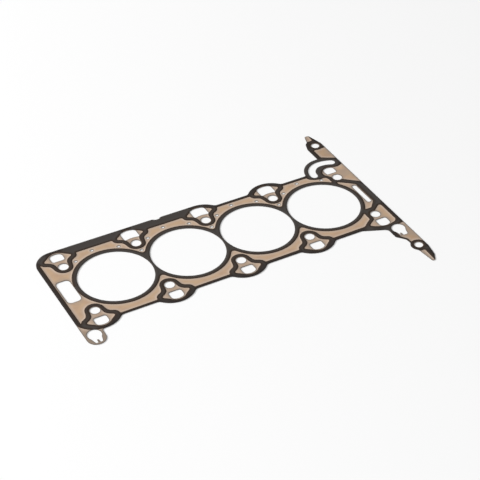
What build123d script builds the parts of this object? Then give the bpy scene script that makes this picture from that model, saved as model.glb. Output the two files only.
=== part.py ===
from build123d import *
import os

# Cylinder head gasket of a four-cylinder engine with its timing case at the front.
# A stamped steel sheet carries a black rubber seal print on its upper face.
# It lies flat. X runs along the engine to the timing-chain end, Y across it and Z up
# to the cylinder head. The origin is on the underside, in the middle of the bore row.

# Stack, from the underside up
sheet_thickness = 0.5
seal_print_thickness = 0.2

# Cylinder bores
cylinders = 4
bore_pitch = 88.0
bore_web = 3.0
ring_print_width = 5.5
web_fillet = 3.0

# Head bolts, a pair beside each end of every bore
bolt_row_spacing = 83.0
bolt_hole = 11.5
bolt_land = 12.7
edge_from_bolt = 19.7

# Outline of the block face, which bows out round the oil openings
rear_overhang = 27.1
front_overhang = 20.4
bump_half_chord = 22.3
bump_rise = 10.8
bump_foot_fillet = 5.0
rear_corner = 9.0
rear_bump_radius = 26.8
rear_bump_shift = 2.5
shelf_corner = 22.5
shelf_notch_width = 10.0
shelf_notch_floor = 5.0
shelf_notch_depth = 2.4
shelf_notch_to_end = 48.0

# Printed seal lines, and the bare islands round the bolts and oil openings
edge_print_width = 4.4
shelf_print_inside = 3.2
lower_print_rear_width = 3.0
lower_print_front_width = 5.2
rear_print_width = 5.2
island_print_width = 4.8
field_end_from_bolt = 11.0
slot_field_from_bolt = 11.5
island_half_length = 16.3
island_tip_from_edge = 4.4
island_shoulder_half_width = 9.5
island_shoulder_from_edge = 1.8
island_half_neck = 7.5
island_neck_from_bolt = 8.5
lobe_half_length = 22.4

# Oil openings. The wide ones have a foot that is hollowed round the bolt.
oil_opening_half_width = 9.5
oil_opening_from_bolt = 9.1
oil_opening_height = 16.4
oil_opening_hollow = 1.8
oil_opening_bow = 2.5
oil_opening_corner = 1.6
return_opening_half_width = 7.6
return_opening_from_bolt = 11.6
return_opening_height = 12.9
return_opening_shift = -0.4
front_opening_half_width = 7.0
front_opening_from_bolt = 9.8
upper_front_opening_height = 12.2
upper_front_opening_shift = -1.2
lower_front_opening_height = 13.4
lower_front_opening_shift = 0.0

# Water ports and slots. A port's place is along from the middle of its bore, and out from
# the bolt row.
port_length = 4.0
port_width = 3.0
port_corner = 1.0
port_places = ((-28.6, 2.1), (-5.0, 11.5), (24.3, 3.9))
web_port_from_bolt = 14.2
rear_slot_length = 38.0
rear_slot_width = 16.2
rear_slot_corner = 5.0
rear_slot_from_edge = 6.9
front_slot_length = 36.6
front_slot_width = 5.7
front_slot_from_edge = 9.9

# Timing-chain end with its two arms
arm_bolt_hole = 9.8
arm_bolt_from_edge = 9.1
arm_ring = 18.6
arm_ring_rim = 0.6
arm_print_width = 5.6
front_print_width = 5.1
upper_arm_width = 21.7
upper_arm_bolt_y = 110.5
upper_arm_tip = 22.5
lower_arm_width = 23.9
lower_arm_bolt_y = -112.5
lower_arm_tip = 31.0
boss_radius = 26.8
boss_from_front_bolt = 5.0
boss_inside_edge = 3.5
crescent_below_boss = 0.3
crescent_radius = 17.5
crescent_width = 8.8
crescent_sweep = 92.0
crescent_run_out = 15.2
crescent_drop = 3.6

# Locating holes with their small tooth, in the rear tab and in the lower arm
locating_hole = 16.0
locating_foot_width = 8.0
locating_foot_depth = 13.2
locating_tooth_width = 2.0
locating_tooth_length = 5.0
locating_from_body = 15.1
front_locating_from_edge = 12.1
front_tooth_shift = 2.8
tab_width = 21.6
tab_end_from_body = 31.1
tab_fillet = 3.0

# Places that follow from the sizes above
columns = [bore_pitch * (i - cylinders / 2) for i in range(cylinders + 1)]
bores = [bore_pitch * (i - (cylinders - 1) / 2) for i in range(cylinders)]
bore_radius = (bore_pitch - bore_web) / 2
bolt_y = bolt_row_spacing / 2
body_half_width = bolt_y + edge_from_bolt
front_bolt = columns[-1]
rear_edge = columns[0] - rear_overhang
front_edge = front_bolt + front_overhang
shelf_end = columns[cylinders // 2]
bump_y = body_half_width + bump_rise
bump_radius = (bump_half_chord**2 + bump_rise**2) / (2 * bump_rise)
island_tip_y = body_half_width - island_tip_from_edge
island_crown_y = bump_y - edge_print_width
island_neck_y = bolt_y + island_neck_from_bolt
arm_bolt_x = front_edge - arm_bolt_from_edge
upper_arm_side = front_edge - upper_arm_width
lower_arm_side = front_edge - lower_arm_width
boss_x = front_bolt - boss_from_front_bolt
boss_y = body_half_width - boss_inside_edge
tab_x = rear_edge + tab_width / 2
tab_end_y = -body_half_width - tab_end_from_body
locating_y = -body_half_width - locating_from_body
front_locating_x = front_edge - front_locating_from_edge


def corner_face(*corners):
    """A flat face from the corners of its outline."""
    with BuildSketch() as face:
        with BuildLine():
            Polyline(*corners, close=True)
        make_face()
    return face.sketch


def upper_arm():
    """Arm along the upper timing case flange, with its slanting tip."""
    x = arm_bolt_x
    y = upper_arm_bolt_y
    end = y + upper_arm_tip
    return corner_face(
        (front_edge, boss_y),
        (front_edge, y + 1.5),
        (x + 7.7, y + 7.5),
        (x + 3.5, end),
        (x - 1.8, end),
        (x - 5.2, y + 11),
        (upper_arm_side + 3.4, y + 7.5),
        (upper_arm_side, y - 3),
        (upper_arm_side, boss_y),
    )


def lower_arm():
    """Arm along the lower timing case flange, waisted above its bolt ring."""
    x = arm_bolt_x
    y = lower_arm_bolt_y
    end = y - lower_arm_tip
    with BuildSketch() as arm:
        add(
            corner_face(
                (front_edge, -bolt_y),
                (front_edge, y - 6),
                (x + 6.2, end + 9),
                (x + 1.2, end),
                (x - 2.5, end),
                (x - 5.5, y - 6),
                (x - 6.3, y + 9),
                (x - 6.8, y + 14.5),
                (lower_arm_side + 3.5, y + 20),
                (lower_arm_side, y + 24),
                (lower_arm_side, -bump_y - 2.7),
                (lower_arm_side - 2.5, -bump_y),
                (front_bolt - 20, -body_half_width - 4.8),
                (front_bolt - 31, -body_half_width),
                (front_bolt - 31, -bolt_y),
            )
        )
        with Locations((x, y)):
            Circle(arm_ring / 2)
    return arm.sketch


def sealed_outline():
    """Outline that the seal print reaches: the gasket without its rear tab."""
    beyond = bore_pitch / 2
    with BuildSketch() as face:
        with Locations(((rear_edge + front_edge) / 2, 0)):
            Rectangle(front_edge - rear_edge, 2 * body_half_width)
        low_corner = face.vertices().sort_by_distance((rear_edge, -body_half_width))[0]
        fillet(low_corner, rear_corner)
        with Locations(((rear_edge + shelf_end) / 2, body_half_width)):
            Rectangle(shelf_end - rear_edge, 2 * bump_rise)
        high_corner = face.vertices().sort_by_distance((rear_edge, bump_y))[0]
        fillet(high_corner, shelf_corner)
        for x in columns[:-1]:
            with Locations((x, bump_radius - bump_y)):
                Circle(bump_radius)
        with Locations((columns[0] - rear_bump_shift, rear_bump_radius - bump_y)):
            Circle(rear_bump_radius)
        for x in columns[cylinders // 2 : -1]:
            with Locations((x, bump_y - bump_radius)):
                Circle(bump_radius)
        feet = face.vertices().filter_by(
            lambda v: abs(abs(v.Y) - body_half_width) < 0.01 and columns[0] < v.X < front_bolt
        )
        fillet(feet, bump_foot_fillet)
        with Locations((boss_x, boss_y)):
            Circle(boss_radius)
        add(upper_arm())
        add(lower_arm())
        with Locations((rear_edge - beyond, 0), (front_edge + beyond, 0)):
            Rectangle(2 * beyond, 4 * bump_y, mode=Mode.SUBTRACT)
        notch_x = shelf_end - shelf_notch_to_end
        notch = corner_face(
            (notch_x - shelf_notch_width / 2, bump_y),
            (notch_x - shelf_notch_floor / 2, bump_y - shelf_notch_depth),
            (notch_x + shelf_notch_floor / 2, bump_y - shelf_notch_depth),
            (notch_x + shelf_notch_width / 2, bump_y),
        )
        add(notch, mode=Mode.SUBTRACT)
    return face.sketch


def island(x, side):
    """Bare steel round one head bolt and the oil opening outside it."""
    half_land = bolt_land / 2
    right_side = (
        (half_land, bolt_y),
        (half_land, bolt_y + 0.55 * half_land),
        (island_half_neck, island_neck_y),
        (island_half_neck + 3.5, island_neck_y + 3.7),
        (island_half_length, island_tip_y),
        (island_half_length - 0.7, island_tip_y + 1.6),
        (island_shoulder_half_width, body_half_width + island_shoulder_from_edge),
    )
    right = [(x + along, side * out) for along, out in right_side]
    left = [(x - along, side * out) for along, out in right_side]
    with BuildSketch() as face:
        with BuildLine():
            Polyline(*right)
            ThreePointArc(right[-1], (x, side * island_crown_y), left[-1])
            Polyline(*reversed(left))
            Line(left[0], right[0])
        make_face()
        with Locations((x, side * bolt_y)):
            Circle(half_land)
    return face.sketch


def lobed_print(x, side):
    """Printed band round an island, which swells into a lobe at each end."""
    radius = bolt_land / 2 + island_print_width
    right_side = (
        (radius + 0.1, bolt_y),
        (radius + 1.1, bolt_y + 4.3),
        (radius + 2.6, bolt_y + 6.8),
        (lobe_half_length - 2.8, bolt_y + 9.8),
        (lobe_half_length - 0.6, bolt_y + 12.7),
        (lobe_half_length, body_half_width),
    )
    right = [(x + along, side * out) for along, out in right_side]
    left = [(x - along, side * out) for along, out in reversed(right_side)]
    with BuildSketch() as face:
        add(corner_face(*right, *left))
        with Locations((x, side * bolt_y)):
            Circle(radius)
    return face.sketch


def upper_front_island():
    """Bare steel round the upper front bolt, open to the front edge."""
    x = front_bolt
    edge = body_half_width
    with BuildSketch() as face:
        add(
            corner_face(
                (x - 5.8, bolt_y + 3),
                (x - 9.2, bolt_y + 8),
                (x - 11.4, bolt_y + 11.2),
                (x - 11.4, edge - 5),
                (x - 8.7, edge - 1),
                (x - 6, edge + 1.5),
                (x - 1.5, edge + 3),
                (x + 4, edge + 1.8),
                (x + 7.5, edge - 0.5),
                (x + 13, edge - 1),
                (front_edge, edge + 2),
                (front_edge, bolt_y - 20.5),
                (x + 10, bolt_y - 12),
                (x + 4, bolt_y - 6.5),
            )
        )
        with Locations((x, bolt_y)):
            Circle(bolt_land / 2)
    return face.sketch


def lower_front_island():
    """Bare steel round the lower front bolt, closed by the print on the front edge."""
    x = front_bolt
    edge = -body_half_width
    inner_edge = front_edge - front_print_width
    with BuildSketch() as face:
        add(
            corner_face(
                (inner_edge - 2.3, 13.5 - bolt_y),
                (inner_edge, 11.5 - bolt_y),
                (inner_edge, edge + 1),
                (x + 12, edge - 2),
                (x + 1, edge - 4.5),
                (x - 8, edge - 2.2),
                (x - 14, edge + 1),
                (x - 17.3, edge + 4),
                (x - 14, -bolt_y - 13),
                (x - 6.5, -bolt_y - 8),
                (x - 5.5, -bolt_y - 3),
                (x + 3.5, 6 - bolt_y),
            )
        )
        with Locations((x, -bolt_y)):
            Circle(bolt_land / 2)
    return face.sketch


def oil_opening(x, side, half_width, from_bolt, height, hollow=0):
    """Oil opening with straight flanks, a bowed outer side and bevelled corners."""
    foot = bolt_y + from_bolt
    shoulder = foot + height - oil_opening_bow
    with BuildSketch() as face:
        with BuildLine():
            ThreePointArc(
                (x - half_width, side * shoulder),
                (x, side * (foot + height)),
                (x + half_width, side * shoulder),
            )
            Line((x + half_width, side * shoulder), (x + half_width, side * foot))
            if hollow:
                ThreePointArc(
                    (x + half_width, side * foot),
                    (x, side * (foot + hollow)),
                    (x - half_width, side * foot),
                )
            else:
                Line((x + half_width, side * foot), (x - half_width, side * foot))
            Line((x - half_width, side * foot), (x - half_width, side * shoulder))
        make_face()
        chamfer(face.vertices(), oil_opening_corner)
    return face.sketch


def crescent():
    """Curved opening round the upper front oil opening, straighter at its front end."""
    y = boss_y - crescent_below_boss
    with BuildLine() as path:
        bend = CenterArc((boss_x, y), crescent_radius, 90, crescent_sweep)
        run_out = (boss_x + crescent_run_out, y + crescent_radius - crescent_drop)
        TangentArc(bend @ 0, run_out, tangent=-(bend % 0))
    with BuildSketch() as face:
        SlotArc(path.wire(), crescent_width)
    return face.sketch


def locating_opening(x, tooth_x):
    """Round locating hole that narrows to a flat foot, with a tooth standing in it."""
    foot = locating_y - locating_foot_depth
    with BuildSketch() as face:
        with Locations((x, locating_y)):
            Circle(locating_hole / 2)
        add(
            corner_face(
                (x - 0.47 * locating_hole, locating_y),
                (x + 0.47 * locating_hole, locating_y),
                (x + locating_foot_width / 2, foot),
                (x - locating_foot_width / 2, foot),
            )
        )
        with Locations((tooth_x, foot + locating_tooth_length / 2)):
            Rectangle(locating_tooth_width, locating_tooth_length, mode=Mode.SUBTRACT)
    return face.sketch


def bare_field():
    """Bare steel between the bore rings, the island prints and the edge print."""
    rear = rear_edge + rear_print_width
    front = front_bolt - field_end_from_bolt
    edge = body_half_width
    with BuildSketch() as face:
        add(
            corner_face(
                (rear, edge - shelf_print_inside),
                (shelf_end, edge - shelf_print_inside),
                (shelf_end, edge - edge_print_width),
                (front, edge - edge_print_width),
                (front, lower_print_front_width - edge),
                (rear, lower_print_rear_width - edge),
            )
        )
        add(ring_print.sketch, mode=Mode.SUBTRACT)
        for x in columns[:-1]:
            add(lobed_print(x, 1), mode=Mode.SUBTRACT)
            add(lobed_print(x, -1), mode=Mode.SUBTRACT)
        for bare in front_islands:
            band = offset(bare, island_print_width, kind=Kind.INTERSECTION, mode=Mode.PRIVATE)
            add(band, mode=Mode.SUBTRACT)
        boss_print = corner_face(
            (front_bolt - 34.5, edge + 1),
            (front_bolt - 32.5, bolt_y + 11.5),
            (front_bolt - 27, bolt_y + 7.7),
            (front_bolt - 21, bolt_y + 5.8),
            (front_bolt - 10, bolt_y + 5.8),
            (front_bolt - 10, edge + 1),
        )
        add(boss_print, mode=Mode.SUBTRACT)
    return face.sketch


def bare_front():
    """Bare steel round the front water slot."""
    inner_edge = front_bolt + slot_field_from_bolt
    with BuildSketch() as face:
        add(
            corner_face(
                (front_bolt - 6, bolt_y - 9),
                (front_bolt, bolt_y - 13),
                (inner_edge, bolt_y - 22.5),
                (inner_edge, 23 - bolt_y),
                (front_bolt + 3, 13.2 - bolt_y),
                (front_bolt - 5, 13 - bolt_y),
            )
        )
        add(ring_print.sketch, mode=Mode.SUBTRACT)
    return face.sketch


def bare_arms():
    """Bare steel on the two arms, beside their printed rings and edges."""
    x = arm_bolt_x
    upper_side = upper_arm_side + arm_print_width
    upper_end = upper_arm_bolt_y + upper_arm_tip
    boss_top = boss_y + boss_radius
    lower_side = lower_arm_side + arm_print_width
    lower_end = lower_arm_bolt_y - lower_arm_tip
    with BuildSketch() as face:
        add(
            corner_face(
                (upper_side, boss_top + 1.2),
                (upper_side + 6.5, boss_top - 2.8),
                (front_edge, boss_top - 7.8),
                (front_edge, upper_arm_bolt_y - 8.5),
                (upper_side, upper_arm_bolt_y - 8.5),
            )
        )
        add(
            corner_face(
                (x - 4.6, upper_arm_bolt_y + 11.5),
                (x + 2.4, upper_arm_bolt_y + 11.5),
                (x + 3, upper_end),
                (x - 1.8, upper_end),
            )
        )
        add(
            corner_face(
                (lower_side, 1 - bump_y),
                (front_edge, 3 - bump_y),
                (front_edge, lower_arm_bolt_y),
                (x - 4.4, lower_arm_bolt_y),
                (x - 4.4, lower_arm_bolt_y + 15),
                (lower_side, lower_arm_bolt_y + 22),
            )
        )
        add(
            corner_face(
                (x - 5.6, lower_arm_bolt_y - 10.5),
                (x + 1, lower_arm_bolt_y - 10.5),
                (x + 0.4, lower_end),
                (x - 2.5, lower_end),
            )
        )
        with Locations((x, upper_arm_bolt_y), (x, lower_arm_bolt_y)):
            Circle(arm_ring / 2, mode=Mode.SUBTRACT)
            Circle(arm_bolt_hole / 2 + arm_ring_rim)
    return face.sketch


outline = sealed_outline()
islands = [island(x, side) for x in columns[:-1] for side in (1, -1)]
front_islands = [upper_front_island(), lower_front_island()]

with BuildSketch() as sheet_outline:
    add(outline)
    tab_top = -bolt_y
    with Locations((tab_x, (tab_end_y + tab_top) / 2)):
        RectangleRounded(tab_width, tab_top - tab_end_y, 0.49 * tab_width)
    tab_root = sheet_outline.vertices().sort_by_distance((tab_x + tab_width / 2, -bump_y))[0]
    fillet(tab_root, tab_fillet)

with BuildSketch() as ring_print:
    for x in bores:
        with Locations((x, 0)):
            Circle(bore_radius + ring_print_width)
    fillet(ring_print.vertices().filter_by(lambda v: abs(v.Y) > 1), web_fillet)

with BuildSketch() as bore_holes:
    for x in bores:
        with Locations((x, 0)):
            Circle(bore_radius)

with BuildSketch() as metering_port:
    Rectangle(port_length, port_width)
    chamfer(metering_port.vertices(), port_corner)

with BuildSketch() as openings:
    for x in columns:
        with Locations((x, bolt_y), (x, -bolt_y)):
            Circle(bolt_hole / 2)
    for x in columns[1:-1]:
        size = (oil_opening_half_width, oil_opening_from_bolt, oil_opening_height)
        add(oil_opening(x, 1, *size, oil_opening_hollow))
    return_places = [(columns[0], 1)] + [(x, -1) for x in columns[:-1]]
    for x, side in return_places:
        size = (return_opening_half_width, return_opening_from_bolt, return_opening_height)
        add(oil_opening(x + return_opening_shift, side, *size))
    size = (front_opening_half_width, front_opening_from_bolt)
    upper_x = front_bolt + upper_front_opening_shift
    add(oil_opening(upper_x, 1, *size, upper_front_opening_height))
    lower_x = front_bolt + lower_front_opening_shift
    add(oil_opening(lower_x, -1, *size, lower_front_opening_height))
    with Locations(*[(x + along, bolt_y + out) for x in bores for along, out in port_places]):
        add(metering_port.sketch)
    with Locations(*[(x, bolt_y - web_port_from_bolt) for x in columns[1:-1]]):
        add(metering_port.sketch)
    with Locations((rear_edge + rear_slot_from_edge + rear_slot_width / 2, 0)):
        RectangleRounded(rear_slot_width, rear_slot_length, rear_slot_corner)
    with Locations((front_edge - front_slot_from_edge - front_slot_width / 2, 0)):
        SlotOverall(front_slot_length, front_slot_width, rotation=90)
    add(crescent())
    with Locations((arm_bolt_x, upper_arm_bolt_y), (arm_bolt_x, lower_arm_bolt_y)):
        Circle(arm_bolt_hole / 2)
    add(locating_opening(tab_x, tab_x))
    add(locating_opening(front_locating_x, front_locating_x - front_tooth_shift))

# Stamped steel sheet, face down on the engine block
with BuildPart() as steel_sheet:
    with BuildSketch(Plane.XY):
        add(sheet_outline.sketch)
        add(bore_holes.sketch, mode=Mode.SUBTRACT)
        add(openings.sketch, mode=Mode.SUBTRACT)
    extrude(amount=sheet_thickness)
steel_sheet.part.label = "steel_sheet"

# Rubber seal print on the sheet, left out where the steel stays bare. It stands as high
# as the beads that are pressed up under it.
with BuildPart() as rubber_seal_print:
    with BuildSketch(Plane.XY.offset(sheet_thickness)):
        add(outline)
        add(bare_field(), mode=Mode.SUBTRACT)
        add(bare_front(), mode=Mode.SUBTRACT)
        add(bare_arms(), mode=Mode.SUBTRACT)
        for bare in islands + front_islands:
            add(bare, mode=Mode.SUBTRACT)
        add(bore_holes.sketch, mode=Mode.SUBTRACT)
        add(openings.sketch, mode=Mode.SUBTRACT)
    extrude(amount=seal_print_thickness)
rubber_seal_print.part.label = "rubber_seal_print"

os.makedirs("parts", exist_ok=True)
for piece in (steel_sheet, rubber_seal_print):
    export_step(piece.part, f"parts/{piece.part.label}.step")
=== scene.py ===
import math
import bpy
import numpy as np
from mathutils import Matrix, Vector, geometry, kdtree


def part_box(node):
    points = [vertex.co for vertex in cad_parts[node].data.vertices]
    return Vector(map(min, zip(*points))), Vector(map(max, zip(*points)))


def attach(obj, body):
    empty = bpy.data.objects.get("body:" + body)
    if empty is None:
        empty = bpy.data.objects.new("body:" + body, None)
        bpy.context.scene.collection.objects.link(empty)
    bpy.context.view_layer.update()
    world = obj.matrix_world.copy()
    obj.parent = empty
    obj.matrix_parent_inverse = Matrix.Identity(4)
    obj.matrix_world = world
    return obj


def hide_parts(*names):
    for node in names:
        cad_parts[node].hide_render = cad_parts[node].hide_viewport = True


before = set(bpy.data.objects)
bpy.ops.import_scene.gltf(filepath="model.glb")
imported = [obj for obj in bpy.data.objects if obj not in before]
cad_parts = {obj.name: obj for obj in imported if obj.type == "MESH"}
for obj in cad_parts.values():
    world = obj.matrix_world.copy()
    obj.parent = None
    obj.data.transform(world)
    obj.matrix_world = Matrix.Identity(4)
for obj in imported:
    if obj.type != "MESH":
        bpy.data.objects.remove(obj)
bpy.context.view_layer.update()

# Steel sheet
# The body of the gasket is spring steel strip, stamped out in one stroke with all its
# openings and then lacquered copper-beige. The press leaves its edges slightly drawn in,
# and the steel stands up a little along the print's borders. Lengths are in millimetres.
MM = 0.001
POINT_DIGITS = 3
TOP_SLACK = 0.01
FEWEST_POINTS = 16
SHEET_STEP = 0.7
STAMPED_CORNER = 0.8
PRINT_STEP = 0.55
PRINT_CORNER = 1.1
PRINT_INSET = 0.1
INSET_REACH = (0.2, 1.0)
FROM_SHEET_EDGE = 0.5
SHEET_ROWS = (0.2, 0.55, 1.1, 2.0)
LINE_ROWS = (0.1, -0.4, -1.0, -1.9, -3.0, -4.3)
SHEET_SPACING = 0.68
ROW_SLACK = 0.94
MESH_TOLERANCE = 1e-5
SHARP_DEGREES = 35
DRAWN_IN = 0.04
DRAWN_WIDTH = 0.35
LINE_RISE = 0.03
LINE_WIDTH = 0.6
UNDER_RECESS = 0.06
WIDEST_PORT = 5.0
FAR = 5.0


def stamped_outlines(node):
    """The closed outlines of a CAD node from above, in mm, with the material on their left."""
    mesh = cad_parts[node].data
    mesh.calc_loop_triangles()
    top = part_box(node)[1].z
    places = {}
    number = []
    for v in mesh.vertices:
        key = (round(v.co.x / MM, POINT_DIGITS), round(v.co.y / MM, POINT_DIGITS))
        number.append(places.setdefault(key, len(places)))
    sides = set()
    for t in mesh.loop_triangles:
        if min(mesh.vertices[i].co.z for i in t.vertices) > top - TOP_SLACK * MM:
            a, b, c = (number[i] for i in t.vertices)
            sides.update(((a, b), (b, c), (c, a)))
    follow = {a: b for a, b in sides if (b, a) not in sides}
    points = np.array(list(places))
    outlines = []
    while follow:
        start, here = follow.popitem()
        ring = [start]
        while here != start:
            ring.append(here)
            here = follow.pop(here)
        outlines.append(points[ring])
    return outlines


def even_steps(outline, step):
    """The same outline with its points a step apart."""
    ends = np.roll(outline, -1, 0)
    run = np.r_[0, np.cumsum(np.hypot(*(ends - outline).T))]
    count = max(FEWEST_POINTS, round(run[-1] / step))
    at = np.arange(count) * run[-1] / count
    closed = np.r_[outline, outline[:1]]
    return np.c_[np.interp(at, run, closed[:, 0]), np.interp(at, run, closed[:, 1])]


def rounded(outline, step, radius):
    """The outline with its corners eased by about this radius."""
    for _ in range(round(2 * (radius / step) ** 2)):
        outline = 0.5 * outline + 0.25 * (np.roll(outline, 1, 0) + np.roll(outline, -1, 0))
    return outline


def inward(outline):
    """Unit directions from the outline into the material."""
    along = np.roll(outline, -1, 0) - np.roll(outline, 1, 0)
    along /= np.hypot(*along.T)[:, None]
    return np.c_[-along[:, 1], along[:, 0]]


def tree_of(points):
    """A search tree of flat points."""
    tree = kdtree.KDTree(len(points))
    for i, (x, y) in enumerate(points):
        tree.insert((x, y, 0), i)
    tree.balance()
    return tree


def reach(points, tree):
    """How far each point is from the nearest point of the tree."""
    return np.array([tree.find((x, y, 0))[2] for x, y in points])


def rows_beside(outlines, rows, spacing, clear_of):
    """Rows of points beside outlines, inside them where the row is positive.

    A point that another outline comes nearer to is left out, and they are thinned where they crowd.
    """
    kept = {}
    for row in rows:
        for outline in outlines:
            points = outline + row * inward(outline)
            distance = reach(points, clear_of)
            for (x, y), d in zip(points, distance):
                if d > ROW_SLACK * abs(row):
                    kept.setdefault((round(x / spacing), round(y / spacing)), (x, y))
    return list(kept.values())


def flat_mesh(outlines, inner_points):
    """Triangles that fill the outlines and pass through the inner points."""
    flat = [p for outline in outlines for p in outline]
    edges = []
    first = 0
    for outline in outlines:
        n = len(outline)
        edges += [(first + i, first + (i + 1) % n) for i in range(n)]
        first += n
    points = [Vector(p) for p in flat] + [Vector(p) for p in inner_points]
    places, lines, faces, _, origins, _ = geometry.delaunay_2d_cdt(points, edges, [], 1, MESH_TOLERANCE)
    walls = set()
    for (a, b), origin in zip(lines, origins):
        if origin:
            start, end = edges[origin[0]]
            ahead = (places[b] - places[a]).dot(points[end] - points[start]) > 0
            walls.add((a, b) if ahead else (b, a))
    beside = {}
    for i, (a, b, c) in enumerate(faces):
        beside.update({(a, b): i, (b, c): i, (c, a): i})
    filled = {beside[side] for side in walls if side in beside}
    front = list(filled)
    while front:
        a, b, c = faces[front.pop()]
        for side in ((a, b), (b, c), (c, a)):
            over = beside.get((side[1], side[0]))
            if side not in walls and over is not None and over not in filled:
                filled.add(over)
                front.append(over)
    used = sorted({corner for i in filled for corner in faces[i]})
    number = {corner: i for i, corner in enumerate(used)}
    triangles = [tuple(number[corner] for corner in faces[i]) for i in sorted(filled)]
    return np.array([tuple(places[corner]) for corner in used]), triangles


def solid_piece(name, points, triangles, top, bottom, marks, printed=None):
    """A closed piece between two height maps over the same flat triangles.

    Its side walls take the second material where the rim is printed, else the third. The marks
    are values at its points that its material reads.
    """
    n = len(points)
    sides = set()
    for a, b, c in triangles:
        sides.update(((a, b), (b, c), (c, a)))
    rim = [(a, b) for a, b in sides if (b, a) not in sides]
    places = np.r_[np.c_[points, top], np.c_[points, bottom]] * MM
    faces = list(triangles)
    faces += [(c + n, b + n, a + n) for a, b, c in triangles]
    faces += [(b, a, a + n, b + n) for a, b in rim]
    mesh = bpy.data.meshes.new(name)
    mesh.from_pydata(places.tolist(), [], faces)
    if printed is not None:
        wall_slots = [1 if printed[a] and printed[b] else 2 for a, b in rim]
        mesh.polygons.foreach_set("material_index", [0] * (len(faces) - len(rim)) + wall_slots)
    for mark, values in marks.items():
        layer = mesh.attributes.new(mark, "FLOAT", "POINT")
        layer.data.foreach_set("value", np.r_[values, values].astype(np.float32))
    mesh.shade_smooth()
    mesh.set_sharp_from_angle(angle=math.radians(SHARP_DEGREES))
    piece = bpy.data.objects.new(name, mesh)
    bpy.context.scene.collection.objects.link(piece)
    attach(piece, "root")
    return piece


sheet_outlines = [
    rounded(even_steps(o, SHEET_STEP), SHEET_STEP, STAMPED_CORNER)
    for o in stamped_outlines("steel_sheet")
]
sheet_tree = tree_of(np.concatenate(sheet_outlines))
port_outlines = [o for o in sheet_outlines if np.ptp(o[:, 0]) < WIDEST_PORT]
wide_outlines = [o for o in sheet_outlines if np.ptp(o[:, 0]) >= WIDEST_PORT]

# The print's outlines shape the steel too. Along a stamped edge they keep just inside it.
print_outlines = []
for outline in stamped_outlines("rubber_seal_print"):
    soft = rounded(even_steps(outline, PRINT_STEP), PRINT_STEP, PRINT_CORNER)
    shift = np.interp(reach(soft, sheet_tree), INSET_REACH, (PRINT_INSET, 0))
    print_outlines.append(soft + shift[:, None] * inward(soft))
border = np.concatenate(print_outlines)
print_tree = tree_of(border)
line_tree = tree_of(border[reach(border, sheet_tree) > FROM_SHEET_EDGE])

beside_edges = rows_beside(sheet_outlines, SHEET_ROWS, SHEET_SPACING, sheet_tree)
beside_lines = np.array(rows_beside(print_outlines, LINE_ROWS, SHEET_SPACING, print_tree))
beside_lines = beside_lines[reach(beside_lines, sheet_tree) > FROM_SHEET_EDGE].tolist()
points, triangles = flat_mesh(sheet_outlines, beside_edges + beside_lines)
from_edge = reach(points, sheet_tree)
from_line = reach(points, line_tree)
sheet_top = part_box("steel_sheet")[1].z / MM
top = sheet_top + LINE_RISE * (np.exp(-((from_line / LINE_WIDTH) ** 2)) - 1)
top -= DRAWN_IN * np.exp(-((from_edge / DRAWN_WIDTH) ** 2))
bottom = np.full(len(points), UNDER_RECESS)
distances = {
    "from_hole": reach(points, tree_of(np.concatenate(wide_outlines))),
    "from_port": reach(points, tree_of(np.concatenate(port_outlines))),
    "from_line": from_line,
}
marks = {mark: np.minimum(distance, FAR) for mark, distance in distances.items()}
printed = reach(points, print_tree) < FROM_SHEET_EDGE
sheet = solid_piece("stamped_steel_sheet", points, triangles, top, bottom, marks, printed)
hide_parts("steel_sheet")

# Lacquered spring steel: the lacquer is thin and satin and covers nearly all of the metal's
# shine. The rolling grain of the strip still shows as faint streaks along it, drawn 0.9 mm
# wide, the finest that shows. It is paler beside the print, a painted highlight where the
# steel rises to the bead, paler beside the ports, greyer round the other openings and dark
# at the stamped edges. Painted shade makes the tab and the arms darker and browner.
LACQUER = "#CBAA8A"
LACQUER_STREAK = "#D2B392"
LACQUER_CLOUD = "#C6A68A"
# Painted shade on the tab and the arms.
LACQUER_TAB_SHADE = "#866D54"
# Painted highlight: paler steel along the print, where it rises to the bead.
LACQUER_HIGHLIGHT_BY_PRINT = "#CDB9A8"
LACQUER_BY_HOLE = "#A99B8F"
LACQUER_BY_PORT = "#D8C8B9"
LACQUER_RIM = "#6B5C50"
LACQUER_FADES = (
    # Painted highlight beside the print lines.
    ("from_line", 0.6, 4.5, 0.8, LACQUER_HIGHLIGHT_BY_PRINT),
    ("from_hole", 0.5, 4.5, 0.8, LACQUER_BY_HOLE),
    ("from_port", 0.6, 3.5, 0.7, LACQUER_BY_PORT),
    ("from_hole", 0.1, 1.2, 0.9, LACQUER_RIM),
    ("from_port", 0.1, 1.2, 0.9, LACQUER_RIM),
)
GRAIN_LENGTH = 14.0
GRAIN_WIDTH = 0.9
GRAIN_DETAIL = 3.0
CLOUD_WIDTH = 9.0
CLOUD_DETAIL = 2.0
CLOUD_RANGE = (0.4, 0.65)
ARMS_FROM_MIDDLE = (62.0, 74.0)
FRONT_TO_REAR = (50.0, -50.0)
SHARE_AT_FRONT = 0.25
LACQUER_ROUGHNESS = (0.38, 0.52)
LACQUER_METALLIC = 0.15
LINE_SWELL = 1.8
LINE_RELIEF = 0.15


def linear(hex_colour):
    """An sRGB hex colour as linear red, green, blue and alpha."""
    channels = [int(hex_colour[i : i + 2], 16) / 255 for i in (1, 3, 5)]
    curve = [c / 12.92 if c <= 0.04045 else ((c + 0.055) / 1.055) ** 2.4 for c in channels]
    return (*curve, 1.0)


def add_node(material, kind, links=(), **settings):
    """A shader node with its settings, and its sockets as (socket, value) or (socket, node, output)."""
    node = material.node_tree.nodes.new(kind)
    for key, value in settings.items():
        setattr(node, key, value)
    for socket, source, *output in links:
        if output:
            material.node_tree.links.new(source.outputs[output[0]], node.inputs[socket])
        else:
            node.inputs[socket].default_value = source
    return node


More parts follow.
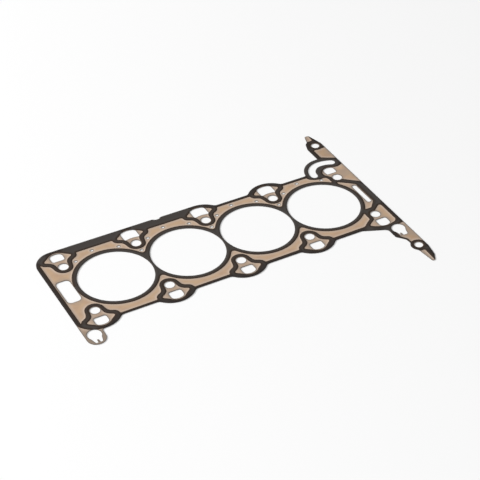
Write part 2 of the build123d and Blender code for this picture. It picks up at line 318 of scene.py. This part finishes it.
def faded(material, colour, fades):
    """The colour with tones that fade out over a mark, as (mark, from, to, share at from, tone)."""
    for mark, near, far, share, tone in fades:
        source = add_node(material, "ShaderNodeAttribute", attribute_name=mark)
        ends = [("From Min", near), ("From Max", far), ("To Min", share), ("To Max", 0.0)]
        fade = add_node(material, "ShaderNodeMapRange", [("Value", source, "Fac"), *ends])
        colour = add_node(
            material,
            "ShaderNodeMix",
            [(0, fade, "Result"), (6, colour, 2), (7, linear(tone))],
            data_type="RGBA",
        )
    return colour


lacquer = bpy.data.materials.new("copper_beige_lacquered_steel")
lacquer.use_nodes = True
place = add_node(lacquer, "ShaderNodeTexCoord")
grain_scale = (1 / GRAIN_LENGTH / MM, 1 / GRAIN_WIDTH / MM, 1 / MM)
stretch = add_node(
    lacquer,
    "ShaderNodeMapping",
    [("Vector", place, "Object"), ("Scale", grain_scale)],
)
grain = add_node(
    lacquer,
    "ShaderNodeTexNoise",
    [("Vector", stretch, "Vector"), ("Scale", 1.0), ("Detail", GRAIN_DETAIL)],
)
colour = add_node(
    lacquer,
    "ShaderNodeMix",
    [(0, grain, "Fac"), (6, linear(LACQUER)), (7, linear(LACQUER_STREAK))],
    data_type="RGBA",
)
clouds = add_node(
    lacquer,
    "ShaderNodeTexNoise",
    [("Vector", place, "Object"), ("Scale", 1 / CLOUD_WIDTH / MM), ("Detail", CLOUD_DETAIL)],
)
cloudiness = add_node(
    lacquer,
    "ShaderNodeMapRange",
    [("Value", clouds, "Fac"), ("From Min", CLOUD_RANGE[0]), ("From Max", CLOUD_RANGE[1])],
)
colour = add_node(
    lacquer,
    "ShaderNodeMix",
    [(0, cloudiness, "Result"), (6, colour, 2), (7, linear(LACQUER_CLOUD))],
    data_type="RGBA",
)

# Painted shade: the tab and the arms are painted darker and browner, fully at the rear end and a
# quarter as much at the front.
outward = add_node(lacquer, "ShaderNodeSeparateXYZ", [("Vector", place, "Object")])
from_middle = add_node(lacquer, "ShaderNodeMath", [(0, outward, "Y")], operation="ABSOLUTE")
on_arms = add_node(
    lacquer,
    "ShaderNodeMapRange",
    [
        ("Value", from_middle, "Value"),
        ("From Min", ARMS_FROM_MIDDLE[0] * MM),
        ("From Max", ARMS_FROM_MIDDLE[1] * MM),
    ],
)
to_rear = add_node(
    lacquer,
    "ShaderNodeMapRange",
    [
        ("Value", outward, "X"),
        ("From Min", FRONT_TO_REAR[0] * MM),
        ("From Max", FRONT_TO_REAR[1] * MM),
        ("To Min", SHARE_AT_FRONT),
    ],
)
tab_shade_share = add_node(
    lacquer,
    "ShaderNodeMath",
    [(0, on_arms, "Result"), (1, to_rear, "Result")],
    operation="MULTIPLY",
)
colour = add_node(
    lacquer,
    "ShaderNodeMix",
    [(0, tab_shade_share, "Value"), (6, colour, 2), (7, linear(LACQUER_TAB_SHADE))],
    data_type="RGBA",
)
colour = faded(lacquer, colour, LACQUER_FADES)

gloss = add_node(
    lacquer,
    "ShaderNodeMapRange",
    [("Value", grain, "Fac"), ("To Min", LACQUER_ROUGHNESS[0]), ("To Max", LACQUER_ROUGHNESS[1])],
)
line = add_node(lacquer, "ShaderNodeAttribute", attribute_name="from_line")
swell = add_node(
    lacquer,
    "ShaderNodeMapRange",
    [("Value", line, "Fac"), ("From Max", LINE_SWELL), ("To Min", 1.0), ("To Max", 0.0)],
    interpolation_type="SMOOTHSTEP",
)
relief = add_node(
    lacquer,
    "ShaderNodeBump",
    [("Height", swell, "Result"), ("Distance", LINE_RELIEF * MM)],
)
bsdf = lacquer.node_tree.nodes["Principled BSDF"]
lacquer.node_tree.links.new(colour.outputs[2], bsdf.inputs["Base Color"])
lacquer.node_tree.links.new(relief.outputs["Normal"], bsdf.inputs["Normal"])
lacquer.node_tree.links.new(gloss.outputs["Result"], bsdf.inputs["Roughness"])
bsdf.inputs["Metallic"].default_value = LACQUER_METALLIC
sheet.data.materials.append(lacquer)

# The stamped edge: black where its rim is printed, bare sheared steel elsewhere,
# with the dark tears of the cut drawn as wide as the grain.
EDGE_WHERE_PRINTED = "#2B2522"
SHEARED_STEEL = "#5C4F44"
TORN = "#272321"
EDGE_ROUGHNESS = 0.6
for name, tone in (("black_edge_where_printed", EDGE_WHERE_PRINTED), ("sheared_steel_edge", SHEARED_STEEL)):
    edge = bpy.data.materials.new(name)
    edge.use_nodes = True
    place = add_node(edge, "ShaderNodeTexCoord")
    tears = add_node(
        edge,
        "ShaderNodeTexNoise",
        [("Vector", place, "Object"), ("Scale", 1 / GRAIN_WIDTH / MM)],
    )
    colour = add_node(
        edge,
        "ShaderNodeMix",
        [(0, tears, "Fac"), (6, linear(tone)), (7, linear(TORN))],
        data_type="RGBA",
    )
    bsdf = edge.node_tree.nodes["Principled BSDF"]
    edge.node_tree.links.new(colour.outputs[2], bsdf.inputs["Base Color"])
    bsdf.inputs["Roughness"].default_value = EDGE_ROUGHNESS
    sheet.data.materials.append(edge)

# Rubber seal print, upper side
# Black nitrile rubber is screen printed over the pressed beads that ring every bore, bolt
# and passage. It is thin and flat at its borders and stands up where the bead crowns it.
PRINT_ROWS = (0.3, 0.7, 1.15, 1.6, 2.1, 2.8, 3.5, 4.2)
PRINT_SPACING = 0.64
LIP_WIDTH = 0.5
LIP_HEIGHT = 0.2
FLANK_WIDTH = 0.9
CROWN_END = 3.1
BEYOND_HEIGHT = 0.55
RIM_SHADE_WIDTHS = (6.5, 8.5)


def bead(d, low, high):
    """Height across a printed bead, d mm in from its border."""
    rise = np.clip((d - LIP_WIDTH) / FLANK_WIDTH, 0, 1)
    fall = np.clip((d - CROWN_END) / FLANK_WIDTH, 0, 1)
    share = LIP_HEIGHT + (1 - LIP_HEIGHT) * (rise * rise * (3 - 2 * rise))
    share -= (1 - BEYOND_HEIGHT) * (fall * fall * (3 - 2 * fall))
    return low + (high - low) * share


inner = rows_beside(print_outlines, PRINT_ROWS, PRINT_SPACING, print_tree)
points, triangles = flat_mesh(print_outlines, inner)
from_border = reach(points, print_tree)
from_bare = reach(points, line_tree)
print_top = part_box("rubber_seal_print")[1].z / MM
top = bead(from_border, sheet_top, print_top)
bottom = np.full(len(points), sheet_top - LINE_RISE)
sheet_rim = max(sheet_outlines, key=lambda o: np.ptp(o[:, 0]))
to_rim = reach(points, tree_of(sheet_rim)) + from_bare
marks = {
    # Painted shade: a band along the rim, where the outer bead falls away from the light.
    "rim_shade_band": np.interp(to_rim, RIM_SHADE_WIDTHS, (1, 0)),
    "from_bare": np.minimum(from_bare, FAR),
    "bead_height": bead(from_border, 0, 1),
}
seal = solid_piece("printed_rubber_seal", points, triangles, top, bottom, marks)
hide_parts("rubber_seal_print")

# Screen printed nitrile rubber: matt dark grey with a faint cloudiness. Beside the bare
# steel it is browner and darker, partly the thin edge of the print and partly painted shade
# on the bead's flanks. Along the rim it is darkest, painted shade in a narrow band. The
# screen's dots are 0.1 mm; they are drawn a good millimetre wide, the finest that shows.
RUBBER = "#44403D"
RUBBER_CLOUD = "#4A4542"
RUBBER_BORDER_AND_SHADE = "#3E342D"
RUBBER_RIM_SHADE = "#2F2A28"
RUBBER_FADES = (
    # Painted shade in the band along the rim.
    ("rim_shade_band", 1.0, 0.0, 0.8, RUBBER_RIM_SHADE),
    # Partly the thin edge of the print, partly painted shade on the bead's flanks.
    ("from_bare", 1.3, 3.6, 0.95, RUBBER_BORDER_AND_SHADE),
)
DOT_WIDTH = 1.3
DOT_DETAIL = 3.0
BEAD_RELIEF = 0.1
RUBBER_ROUGHNESS = 0.55
RUBBER_SPECULAR = 0.05
rubber = bpy.data.materials.new("screen_printed_nitrile_rubber")
rubber.use_nodes = True
place = add_node(rubber, "ShaderNodeTexCoord")
cloudy = add_node(
    rubber,
    "ShaderNodeTexNoise",
    [("Vector", place, "Object"), ("Scale", 1 / DOT_WIDTH / MM), ("Detail", DOT_DETAIL)],
)
colour = add_node(
    rubber,
    "ShaderNodeMix",
    [(0, cloudy, "Fac"), (6, linear(RUBBER)), (7, linear(RUBBER_CLOUD))],
    data_type="RGBA",
)
colour = faded(rubber, colour, RUBBER_FADES)
height = add_node(rubber, "ShaderNodeAttribute", attribute_name="bead_height")
relief = add_node(
    rubber,
    "ShaderNodeBump",
    [("Height", height, "Fac"), ("Distance", BEAD_RELIEF * MM)],
)
bsdf = rubber.node_tree.nodes["Principled BSDF"]
rubber.node_tree.links.new(colour.outputs[2], bsdf.inputs["Base Color"])
rubber.node_tree.links.new(relief.outputs["Normal"], bsdf.inputs["Normal"])
bsdf.inputs["Roughness"].default_value = RUBBER_ROUGHNESS
bsdf.inputs["Specular IOR Level"].default_value = RUBBER_SPECULAR
seal.data.materials.append(rubber)

# Rubber seal print, underside
# The face that lies on the engine block carries the same print, in the same lines. It fills
# the recess under the steel and meets the block's machined top.
under_top = np.full(len(points), UNDER_RECESS)
under_bottom = UNDER_RECESS - bead(from_border, 0, UNDER_RECESS)
under_name = "printed_rubber_seal_underside"
under = solid_piece(under_name, points, triangles, under_top, under_bottom, marks)
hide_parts("steel_sheet")
under.data.materials.append(rubber)

# Studio floor
# A sweep of matt white paper, lifted to near white for the camera. It lies a quarter of a
# millimetre under the gasket, so that the thin shadow under each edge shows.
WHITE = (1.0, 1.0, 1.0, 1.0)
FLOOR = "#FCFCFC"
FLOOR_METRES = 12
FLOOR_DROP = 0.25
FLOOR_ROUGHNESS = 0.9
GLOW_STRENGTH = 1.0
GLOW_SHARE = 0.35
bpy.ops.mesh.primitive_plane_add(size=FLOOR_METRES, location=(0, 0, -FLOOR_DROP * MM))
floor = bpy.context.object
floor.name = "studio_floor"
paper = bpy.data.materials.new("matt_white_sweep")
paper.use_nodes = True
bsdf = paper.node_tree.nodes["Principled BSDF"]
bsdf.inputs["Base Color"].default_value = linear(FLOOR)
bsdf.inputs["Roughness"].default_value = FLOOR_ROUGHNESS
glow = add_node(paper, "ShaderNodeEmission", [("Color", WHITE), ("Strength", GLOW_STRENGTH)])
path = add_node(paper, "ShaderNodeLightPath")
seen = add_node(
    paper,
    "ShaderNodeMath",
    [(0, path, "Is Camera Ray"), (1, path, "Is Glossy Ray")],
    operation="MAXIMUM",
)
seen = add_node(
    paper,
    "ShaderNodeMath",
    [(0, seen, "Value"), (1, path, "Is Transmission Ray")],
    operation="MAXIMUM",
)
share = add_node(
    paper,
    "ShaderNodeMath",
    [(0, seen, "Value"), (1, GLOW_SHARE)],
    operation="MULTIPLY",
)
lifted = add_node(paper, "ShaderNodeMixShader", [(0, share, 0), (1, bsdf, 0), (2, glow, 0)])
end = paper.node_tree.nodes["Material Output"]
paper.node_tree.links.new(lifted.outputs[0], end.inputs["Surface"])
floor.data.materials.append(paper)

# Studio light
# One large soft box stands on the camera's left, 30 degrees up, so the left edge of each
# opening throws its shadow inward. A faint one in front and a pale room fill the shadows.
ROOM_STRENGTH = 0.2
LAMPS = (
    ("rear_soft_box", (-6.6, 3.9, 4.5), 3.3, 1161.0),
    ("front_soft_box", (-1.6, -2.0, 1.8), 1.4, 11.0),
)
world = bpy.data.worlds.new("pale_room")
bpy.context.scene.world = world
world.use_nodes = True
room = world.node_tree.nodes["Background"]
room.inputs["Color"].default_value = WHITE
room.inputs["Strength"].default_value = ROOM_STRENGTH
for name, spot, width, watts in LAMPS:
    lamp = bpy.data.lights.new(name, "AREA")
    lamp.shape = "SQUARE"
    lamp.size = width
    lamp.energy = watts
    holder = bpy.data.objects.new(name, lamp)
    holder.location = spot
    holder.rotation_euler = (-Vector(spot)).to_track_quat("-Z", "Y").to_euler()
    bpy.context.scene.collection.objects.link(holder)

# Camera
# It stands at the photograph's place: past the rear end, on the side away from the water
# ports and 38 degrees up. It looks at the middle of the gasket through a long lens.
EYE = Vector((-0.6062, -1.1349, 1.0026))
AIM = Vector((0.01625, -0.00973, 0.0007))
ROLL_DEGREES = 0.14
SENSOR_WIDTH = 36.0
FOCAL_LENGTH = 109.2
lens = bpy.data.cameras.new("photo_camera")
lens.sensor_width = SENSOR_WIDTH
lens.lens = FOCAL_LENGTH
camera = bpy.data.objects.new("photo_camera", lens)
turn = (AIM - EYE).to_track_quat("-Z", "Y").to_matrix().to_4x4()
roll = Matrix.Rotation(math.radians(ROLL_DEGREES), 4, "Z")
camera.matrix_world = Matrix.Translation(EYE) @ turn @ roll
bpy.context.scene.collection.objects.link(camera)
bpy.context.scene.camera = camera
bpy.context.scene.view_settings.view_transform = "Standard"
